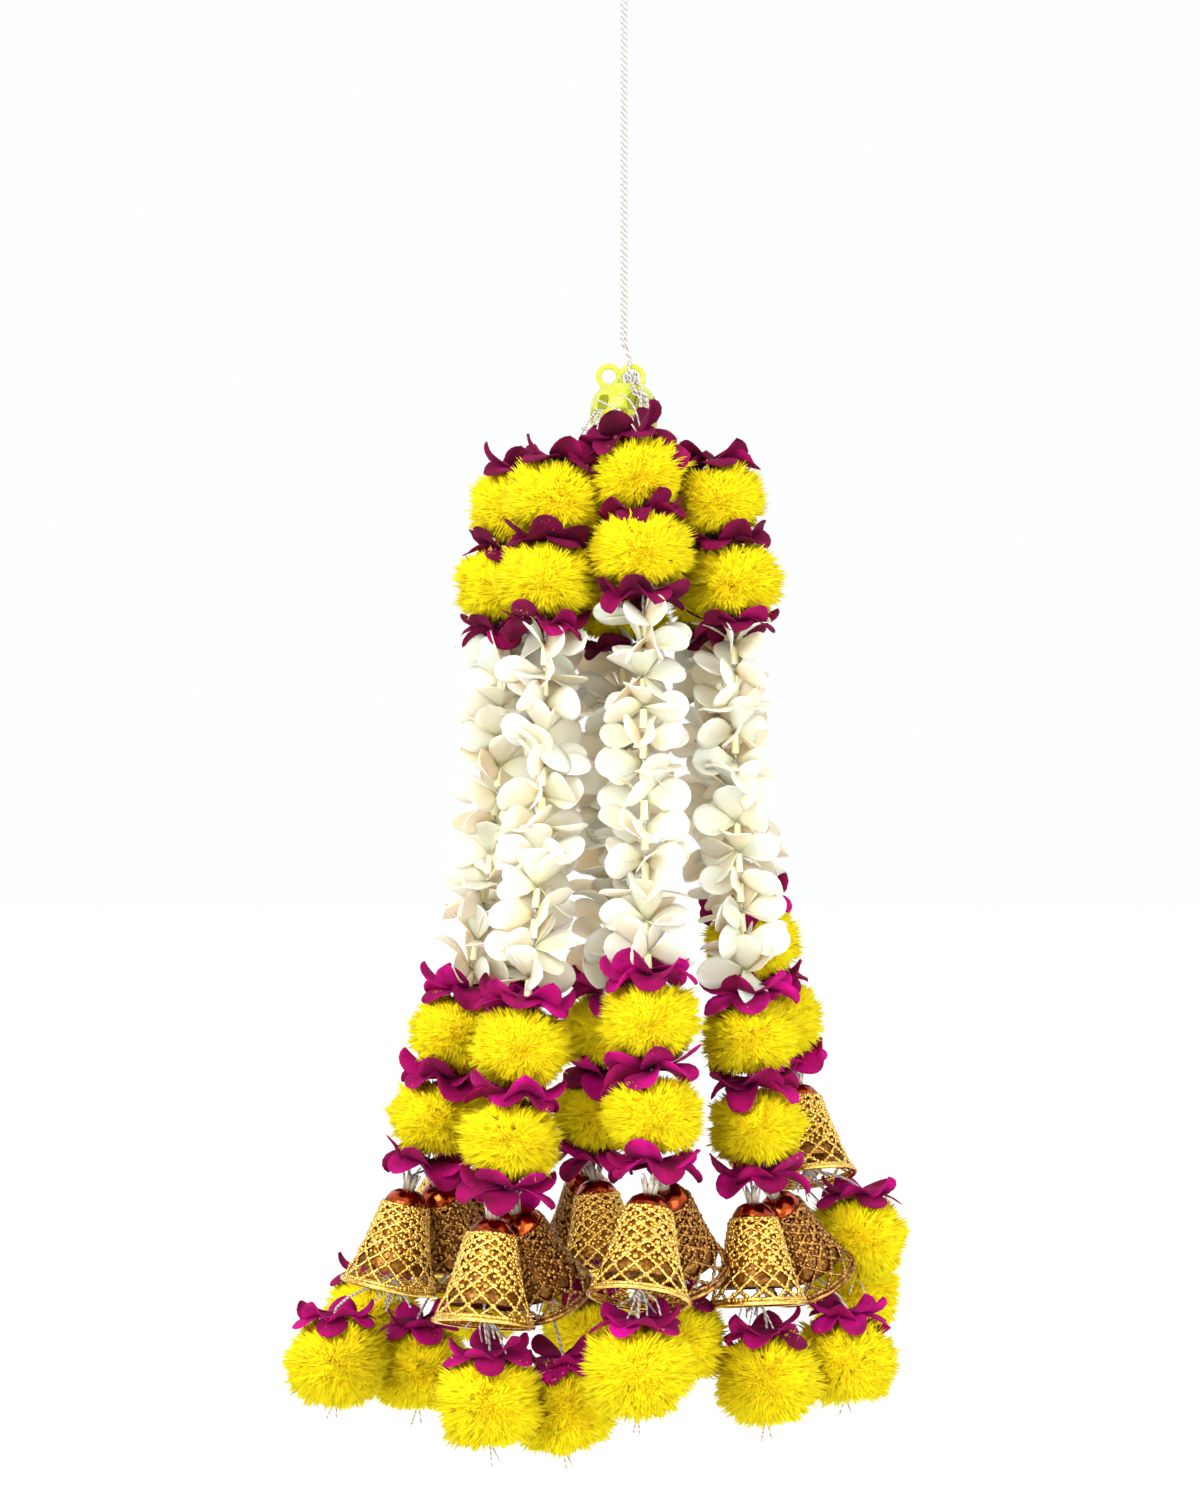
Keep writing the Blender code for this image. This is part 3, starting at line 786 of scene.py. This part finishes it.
crest = {  # the topmost petals, that stand up before the crown, and the loose threads there
    "strand": 3,
    "looseThreads": 9,
    "spread": 0.0028,
    "fall": (  # the way that the loose threads take from the knot over the crown's front
        (0.0035, -0.0040, -0.2080), (0.0068, -0.0150, -0.2130), (0.0100, -0.0205, -0.2200),
        (0.0085, -0.0225, -0.2290), (0.0020, -0.0260, -0.2370),
    ),
    "cup": -0.5,
    "rise": 0.1,
    # the crest petals' darkening, painted shade as on the orchids
    "shade": 0.5,
    "petals": (  # foot, direction, length, width, how far it bends back
        ((-0.0030, -0.0440, -0.2500), (0, -0.45, 1), 0.0200, 0.0175, -0.8),
        ((0.0060, -0.0480, -0.2475), (1, -0.2, 0.30), 0.0200, 0.0150, -0.6),
        ((0.0130, -0.0500, -0.2520), (1, -0.2, 0.10), 0.0190, 0.0130, -0.7),
        ((-0.0120, -0.0460, -0.2520), (-0.9, -0.3, 0.35), 0.0170, 0.0130, -0.6),
    ),
    "threads": (  # single threads down from the crown
        (
            (-0.0130, -0.0260, -0.2200), (-0.0060, -0.0520, -0.2270),
            (0.0020, -0.0560, -0.2340), (0.0075, -0.0520, -0.2420),
        ),
        (
            (-0.0020, -0.0250, -0.2170), (0.0030, -0.0480, -0.2240),
            (0.0065, -0.0520, -0.2330), (0.0080, -0.0480, -0.2430),
        ),
        ((-0.0120, -0.0200, -0.2240), (-0.0170, -0.0260, -0.2360), (-0.0205, -0.0290, -0.2480)),
        ((-0.0110, -0.0200, -0.2240), (-0.0140, -0.0280, -0.2370), (-0.0160, -0.0300, -0.2480)),
        ((-0.0130, -0.0180, -0.2230), (-0.0200, -0.0230, -0.2340), (-0.0260, -0.0260, -0.2480)),
    ),
}


# Moves what lies among a marigold's shreds out onto them, so that the shreds don't come through.
def liftOff(bm):
    verts = list(bm.verts)
    spots = np.array([tuple(vert.co) for vert in verts])
    for middle, axis, (wide, tall) in cushions:
        turn = np.array(facing(axis).to_3x3())
        away = (spots - np.array(middle)) @ turn / np.array((wide, wide, tall))
        depth = 1 / boxy(away)
        among = (depth > orchid["hidden"]) & (depth < orchid["clear"])
        push = (orchid["clear"] / depth[among])[:, None]
        spots[among] = np.array(middle) + (spots[among] - np.array(middle)) * push
    for vert, spot in zip(verts, spots):
        vert.co = spot


def makeOrchids(strand, places, material):
    bm = bmesh.new()
    marks = petalMarks(bm)
    spots = [(*spot, row) for spot, row in zip(places["orchids"], ["upper"] * 3 + ["lower"] * 3)]
    onTassel = Vector((0, 0, pom["tassel"][1] + orchid["overTassel"]))
    spots += [(middle + onTassel, down, "tassel") for middle in places["tassels"]]
    for middle, axis, row in spots:
        scale = orchid["scale"][row]
        start = random.uniform(0, 2 * math.pi)
        for k in range(orchid["petals"]):
            angle = start + 2 * math.pi * k / orchid["petals"] + random.uniform(-0.2, 0.2)
            way = 1 if k % 2 else -1  # one curls up and the next down
            foot = middle + axis * random.uniform(-orchid["stagger"], orchid["stagger"])
            addPetal(
                bm, marks, petalPlace(foot, axis, angle, orchid["inset"]),
                scale * random.uniform(*orchid["length"]), scale * random.uniform(*orchid["width"]),
                -way * random.uniform(0.0, 0.5), way * random.uniform(-0.5, 1) * orchid["rise"],
                way * random.uniform(*orchid["curl"]), orchid["ruffle"], random.uniform(-0.3, 0.3),
                random.uniform(*orchid["shade"][row]),
            )
    liftOff(bm)
    if strand == crest["strand"]:
        for foot, along, length, width, curl in crest["petals"]:
            y = Vector(along).normalized()
            z = (forward - y * y.dot(forward)).normalized()
            turn = Matrix((y.cross(z), y, z)).transposed().to_4x4()
            addPetal(
                bm, marks, Matrix.Translation(foot) @ turn, length, width, crest["cup"], crest["rise"], curl,
                orchid["ruffle"], 0.0, crest["shade"],
            )
    bmesh.ops.recalc_face_normals(bm, faces=bm.faces)
    piece = finishMesh(f"orchids{strand}", bm, material)
    thicken(piece, orchid["thickness"])
    place(piece, "orchid_purple", f"thread_{strand}")


blossoms = {
    "pitch": 0.0146,
    "petals": 7,
    "length": (0.0205, 0.0240),
    "width": (0.0155, 0.0185),
    "thickness": 0.00025,
    "ruffle": 0.02,
    "inset": 0.0008,
    "flat": (1.15, 0.8, -0.3, -0.9),  # the rises that the other petals choose from
    "turned": 0.55,  # the share of petals that stand on edge
    "back": (5, 6, 7),  # strands with one more petal to a blossom, and larger ones
    "backFull": 1.22,
    "strawRadius": 0.0020,
    "strawTaper": 0.86,
    "strawLength": 0.0092,
    "strawDrop": 0.0012,  # from a blossom's middle to the straw below it
}


def makeBlossoms(strand, places, petalMaterial, strawMaterial):
    petals, straws = bmesh.new(), bmesh.new()
    marks = petalMarks(petals)
    full = blossoms["backFull"] if strand in blossoms["back"] else 1.0
    line = places["string"]
    for k, middle in enumerate(line):
        after, before = line[min(k + 1, len(line) - 1)], line[max(k - 1, 0)]
        axis = (after - before).normalized()
        start = random.uniform(0, 2 * math.pi)
        petalCount = blossoms["petals"] + (full > 1)
        for n in range(petalCount):
            angle = start + 2 * math.pi * n / petalCount + random.uniform(-0.25, 0.25)
            if random.random() < blossoms["turned"]:  # petals that stand on edge
                rise, twist = random.uniform(-0.3, 0.5), random.choice((-1, 1)) * random.uniform(0.7, 1.4)
                curl = random.uniform(-0.7, 0.7)
            else:
                rise, twist = random.choice(blossoms["flat"]), random.uniform(-0.3, 0.3)
                curl = -math.copysign(random.uniform(0.0, 1.1), rise)
            addPetal(
                petals, marks, petalPlace(middle, axis, angle, blossoms["inset"]),
                full * random.uniform(*blossoms["length"]), full * random.uniform(*blossoms["width"]),
                random.uniform(-0.1, 0.35), rise, curl, blossoms["ruffle"], twist, random.uniform(0, 1),
            )
        lower = middle + axis * (blossoms["strawDrop"] + blossoms["strawLength"] / 2)
        bmesh.ops.create_cone(
            straws, cap_ends=True, segments=10, radius1=blossoms["strawRadius"] * blossoms["strawTaper"],
            radius2=blossoms["strawRadius"], depth=blossoms["strawLength"],
            matrix=Matrix.Translation(lower) @ facing(axis),
        )
    bmesh.ops.recalc_face_normals(petals, faces=petals.faces)
    piece = finishMesh(f"whiteBlossoms{strand}", petals, petalMaterial)
    thicken(piece, blossoms["thickness"])
    place(piece, "blossom_white", f"blossom_string_{strand}")
    piece = finishMesh(f"straws{strand}", straws, strawMaterial)
    piece.data.set_sharp_from_angle(angle=math.radians(50))
    place(piece, "blossom_white", f"blossom_string_{strand}")


bell = {
    "height": 0.0535,
    "steps": 44,
    "outline": (
        (0.0112, 0.0120), (0.0128, 0.0185), (0.0145, 0.0265), (0.0162, 0.0335), (0.0186, 0.0415),
        (0.0208, 0.0470), (0.0233, 0.0530),
    ),
    "rows": (0.0125, 0.0168, 0.0214, 0.0266, 0.0328, 0.0412, 0.0514),
    "columns": 11,
    "strut": 0.0014,
    "wallStart": 0.0115,
    "wallEnd": 0.0452,
    "wallDepth": 0.0006,  # behind the struts
    "wallThickness": 0.0008,
    "cap": ((0.0018, 0.0044), (0.0052, 0.0050), (0.0082, 0.0068), (0.0104, 0.0102), (0.0117, 0.0146)),
    "capSteps": 32,
    "capThickness": 0.0007,
    "scallop": 0.0012,
    "rim": ((0.0234, 0.0530, 0.0012), (0.0219, 0.0510, 0.0007)),  # radius, height, thickness
    "grainStart": 0.0140,  # height of the first row of grains, from the top down
    "grainStep": 0.0026,
    "grainRows": 10,
    "grainApart": 0.0031,
    "grain": 0.00150,
    "strutGrain": 0.00110,
    "strutGrainApart": 0.0021,
    "prongs": 7,
    "prong": (0.0008, 0.0016, 0.0085),  # radius at each end, length
    "prongPlace": (0.0034, 0, 0.0012),
    "prongLean": math.radians(-16),
    "prongFlat": 0.4,
    "neck": (0.0020, 0.0034, 0.0040),
    "neckHeight": 0.0034,
}


def bellRadius(height):
    radii, heights = zip(*bell["outline"])
    return float(np.interp(height, heights, radii))


# The dark shell that shows between the grains; its dark colour is painted shade in the lattice's recesses and
# openings.
def shapeWall():
    bm = bmesh.new()
    heights = np.linspace(bell["wallStart"], bell["wallEnd"], 8)
    spinLine(bm, [(bellRadius(height) - bell["wallDepth"], height) for height in heights], bell["steps"])
    bmesh.ops.recalc_face_normals(bm, faces=bm.faces)
    bmesh.ops.solidify(bm, geom=bm.faces, thickness=bell["wallThickness"])
    return bm


def addGrain(bm, spot, size, squash):
    out = Vector((spot.x, spot.y, 0)).normalized()
    matrix = Matrix.Translation(spot) @ facing(out, (0, 0, 1)) @ Matrix.Diagonal((1, 1, squash, 1))
    bmesh.ops.create_icosphere(bm, subdivisions=1, radius=size, matrix=matrix)


# Crossing struts that end in pointed arches at the rim, grains all over them, and a rolled rim.
def shapeGrains():
    bm = bmesh.new()
    lattice = bmesh.new()
    spinLine(lattice, [(bellRadius(height), height) for height in bell["rows"]], bell["columns"])
    bmesh.ops.recalc_face_normals(lattice, faces=lattice.faces)
    straight = list(lattice.edges)
    bmesh.ops.poke(lattice, faces=lattice.faces)
    inner = [edge for edge in straight if edge.is_valid and len(edge.link_faces) == 2]
    bmesh.ops.dissolve_edges(lattice, edges=inner, use_verts=False)
    for vert in lattice.verts:  # back out onto the bell's round wall
        out = Vector((vert.co.x, vert.co.y, 0)).normalized()
        vert.co = out * (bellRadius(vert.co.z) + 0.0002) + Vector((0, 0, vert.co.z))
    struts = [sorted(vert.co.to_tuple(6) for vert in edge.verts) for edge in lattice.edges]
    for ends in sorted(struts):  # the edges' own order differs from run to run
        first, second = (Vector(end) for end in ends)
        pieces = max(round((second - first).length / bell["strutGrainApart"]), 1)
        for k in range(pieces):
            spot = first.lerp(second, (k + random.uniform(0.3, 0.7)) / pieces)
            addGrain(bm, spot, bell["strutGrain"] * random.uniform(0.7, 1.2), 0.9)
    bmesh.ops.wireframe(
        lattice, faces=lattice.faces, thickness=bell["strut"], offset=0, use_replace=True,
        use_boundary=True, use_even_offset=True,
    )
    addMesh(bm, lattice)
    for row in range(bell["grainRows"]):
        height = bell["grainStart"] + row * bell["grainStep"]
        radius = bellRadius(height)
        around = round(2 * math.pi * radius / bell["grainApart"])
        for k in range(around):
            angle = 2 * math.pi * (k + 0.5 * (row % 2)) / around + random.uniform(-0.05, 0.05)
            rise = height + random.uniform(-0.0007, 0.0007)
            spot = Matrix.Rotation(angle, 4, "Z") @ Vector((radius, 0, rise))
            addGrain(bm, spot, bell["grain"] * random.uniform(0.6, 1.15), random.uniform(0.5, 1.1))
    for radius, height, thick in bell["rim"]:
        matrix = Matrix.Translation((radius, 0, height)) @ Matrix.Rotation(math.pi / 2, 4, "X")
        spinRing(bm, matrix, 8, thick, (0, 0, 1), bell["steps"])
    bmesh.ops.remove_doubles(bm, verts=bm.verts, dist=0.000002)
    bmesh.ops.recalc_face_normals(bm, faces=bm.faces)
    return bm


# The smooth dome with its scalloped edge.
def shapeCap():
    bm = bmesh.new()
    spinLine(bm, bell["cap"], bell["capSteps"])
    bmesh.ops.recalc_face_normals(bm, faces=bm.faces)
    for vert in bm.verts:
        if vert.co.z > bell["cap"][-1][1] - 0.0001:
            vert.co.z += bell["scallop"] * math.cos(8 * math.atan2(vert.co.y, vert.co.x))
    bmesh.ops.solidify(bm, geom=bm.faces, thickness=bell["capThickness"])
    bmesh.ops.recalc_face_normals(bm, faces=bm.faces)
    return bm


# The clear calyx that holds the bell's top.
def shapeProngs():
    bm = bmesh.new()
    narrow, wide, long = bell["prong"]
    lean = Matrix.Translation(bell["prongPlace"]) @ Matrix.Rotation(bell["prongLean"], 4, "Y")
    lean = lean @ Matrix.Diagonal((bell["prongFlat"], 1, 1, 1))
    for k in range(bell["prongs"]):
        turn = Matrix.Rotation(2 * math.pi * k / bell["prongs"], 4, "Z")
        bmesh.ops.create_cone(
            bm, cap_ends=True, segments=6, radius1=narrow, radius2=wide, depth=long, matrix=turn @ lean,
        )
    narrow, wide, long = bell["neck"]
    bmesh.ops.create_cone(
        bm, cap_ends=True, segments=12, radius1=narrow, radius2=wide, depth=long,
        matrix=Matrix.Translation((0, 0, bell["neckHeight"])),
    )
    bmesh.ops.recalc_face_normals(bm, faces=bm.faces)
    return bm


def makeBell(node, name, top, axis, shapes, grains):
    spin = Matrix.Rotation(random.uniform(0, 2 * math.pi), 4, "Z")
    for part, (shape, material) in shapes.items():
        if part == "Grains":
            material = grains
        piece = placedCopy(name + part, shape, Matrix.Translation(top) @ facing(axis) @ spin, material)
        place(piece, "bell_gold", node)


threads = {
    "radius": 0.0007,
    "endRadius": 0.00045,
    "forkDrop": 0.0044,  # from the last row of petals down to the fork
    "inBell": (-0.0008, 0.014, 0.034),  # how far down the bell the thread's points are
    "mouthEnds": 9,  # frayed ends out of each bell's mouth
    "tasselEnds": 2,  # and out of each tassel's underside
    "topEnds": 5,  # tied ends between each bell's prongs
}


# A random step of up to a distance each way, level.
def sideways(most):
    return Vector((random.uniform(-most, most), random.uniform(-most, most), 0))


def makeThreads(strand, places, material):
    poms = places["poms"]
    controls = [places["top"] + Vector((0, 0, 0.006)), places["top"], poms["uppera"][0], poms["upperb"][0]]
    controls += places["string"][::3] + [poms["lowera"][0], poms["lowerb"][0], places["fork"]]
    lines = [smoothLine(controls, 6)]
    for (top, axis), tassel in zip(places["bells"], places["tassels"]):
        mouth = top + axis * bell["height"]
        above = tassel + Vector((0, 0, pom["tassel"][1] + 0.004))
        inside = [top + axis * depth for depth in threads["inBell"]]
        lines.append(smoothLine([places["fork"], *inside, mouth - axis * 0.006, above, tassel], 4))
    piece = curvePiece(f"thread{strand}", lines, threads["radius"], material)
    place(piece, "cord_white", f"thread_{strand}")

    ends = []
    for (top, axis), tassel in zip(places["bells"], places["tassels"]):
        mouth = top + axis * (bell["height"] - 0.006)
        for k in range(threads["mouthEnds"]):
            away = sideways(0.010) + Vector((0, 0, random.uniform(-0.016, -0.008)))
            bow = sideways(0.003)
            ends.append(smoothLine([mouth, mouth + away * 0.5 + bow, mouth + away * 1.1], 4))
        below = tassel - Vector((0, 0, pom["tassel"][1] - 0.004))
        for k in range(threads["tasselEnds"]):
            away = sideways(0.005) + Vector((0, 0, -0.010))
            ends.append(smoothLine([below, below + away * 0.6, below + away * 1.1], 3))
        for k in range(threads["topEnds"]):
            away = sideways(0.006) + Vector((0, 0, 0.006))
            ends.append(smoothLine([top + axis * 0.003, top + away * 0.6, top + away], 3))
    if strand == crest["strand"]:
        ends += [smoothLine([Vector(point) for point in line], 5) for line in crest["threads"]]
        for k in range(crest["looseThreads"]):  # from the knot, over the crown's front
            spread = crest["spread"]
            loose = [
                Vector(point) + Vector([random.uniform(-spread, spread) for axis in range(3)])
                for point in crest["fall"]
            ]
            ends.append(smoothLine([loose[0] + Vector((0, 0.002, 0))] + loose[1:], 5))
    piece = curvePiece(f"threadEnds{strand}", ends, threads["endRadius"], material)
    place(piece, "cord_white", f"thread_{strand}")


makeView()
threadMaterial = makeCord()
print("cord done")
makeCrown()
print("crown done")

cloth, velvet, white, straw = marigoldCloth(), orchidVelvet(), blossomCloth(), strawPlastic()
pomShapes = [shapePom(kind) for kind in range(pom["kinds"])]

gold = gilt("giltGrains", linear(250, 214, 116), linear(206, 158, 62), 0.24, 500, 0.25)
# painted shade: a darker, browner copy of the grains' gold, for the b bells
shadedGold = gilt("giltShaded", linear(196, 146, 72), linear(104, 62, 28), 0.28, 500, 0.25)
# painted shade: the dark gold of the shell behind the grains
shadedWallGold = gilt("giltWallShade", linear(150, 100, 34), linear(92, 56, 18), 0.4, 500, 0.3)
capRed = gilt("giltCap", linear(186, 78, 24), linear(104, 30, 12), 0.16, 200, 0.06)
bellShapes = {
    "Wall": (asMesh("bellWall", shapeWall()), shadedWallGold),
    "Grains": (asMesh("bellGrains", shapeGrains()), gold),
    "Cap": (asMesh("bellCap", shapeCap()), capRed),
    "Prongs": (asMesh("bellProngs", shapeProngs()), clearPlastic()),
}
print("shapes done")

allPlaces = {strand: strandPlaces(strand) for strand in strands}
cushions = []  # every marigold's middle, axis and size
for places in allPlaces.values():
    cushions += [(middle, axis, pom[row[:-1]]) for row, (middle, axis) in places["poms"].items()]
    cushions += [(middle, down, pom["tassel"]) for middle in places["tassels"]]

for strand, places in allPlaces.items():
    marigolds = [
        (row[:-1], row[-1], middle, axis, f"{row[:-1]}_marigold_{strand}{row[-1]}")
        for row, (middle, axis) in places["poms"].items()
    ]
    for letter, middle in zip("ab", places["tassels"]):
        marigolds.append(("tassel", letter, middle, down, f"thread_{strand}"))
    for row, letter, middle, axis, node in marigolds:
        shape = random.choice(pomShapes)
        makePom(f"{row}Marigold{strand}{letter}", shape, middle, axis, pom[row], node, cloth)
    makeOrchids(strand, places, velvet)
    makeBlossoms(strand, places, white, straw)
    for letter, (top, axis) in zip("ab", places["bells"]):
        # the b bells get the darker gold, which is painted shade
        grains = gold if letter == "a" else shadedGold
        makeBell(f"bell_{strand}{letter}", f"bell{strand}{letter}", top, axis, bellShapes, grains)
    makeThreads(strand, places, threadMaterial)
    print("strand", strand, "done")

for shape in pomShapes + [shape for shape, _ in bellShapes.values()]:
    bpy.data.meshes.remove(shape)
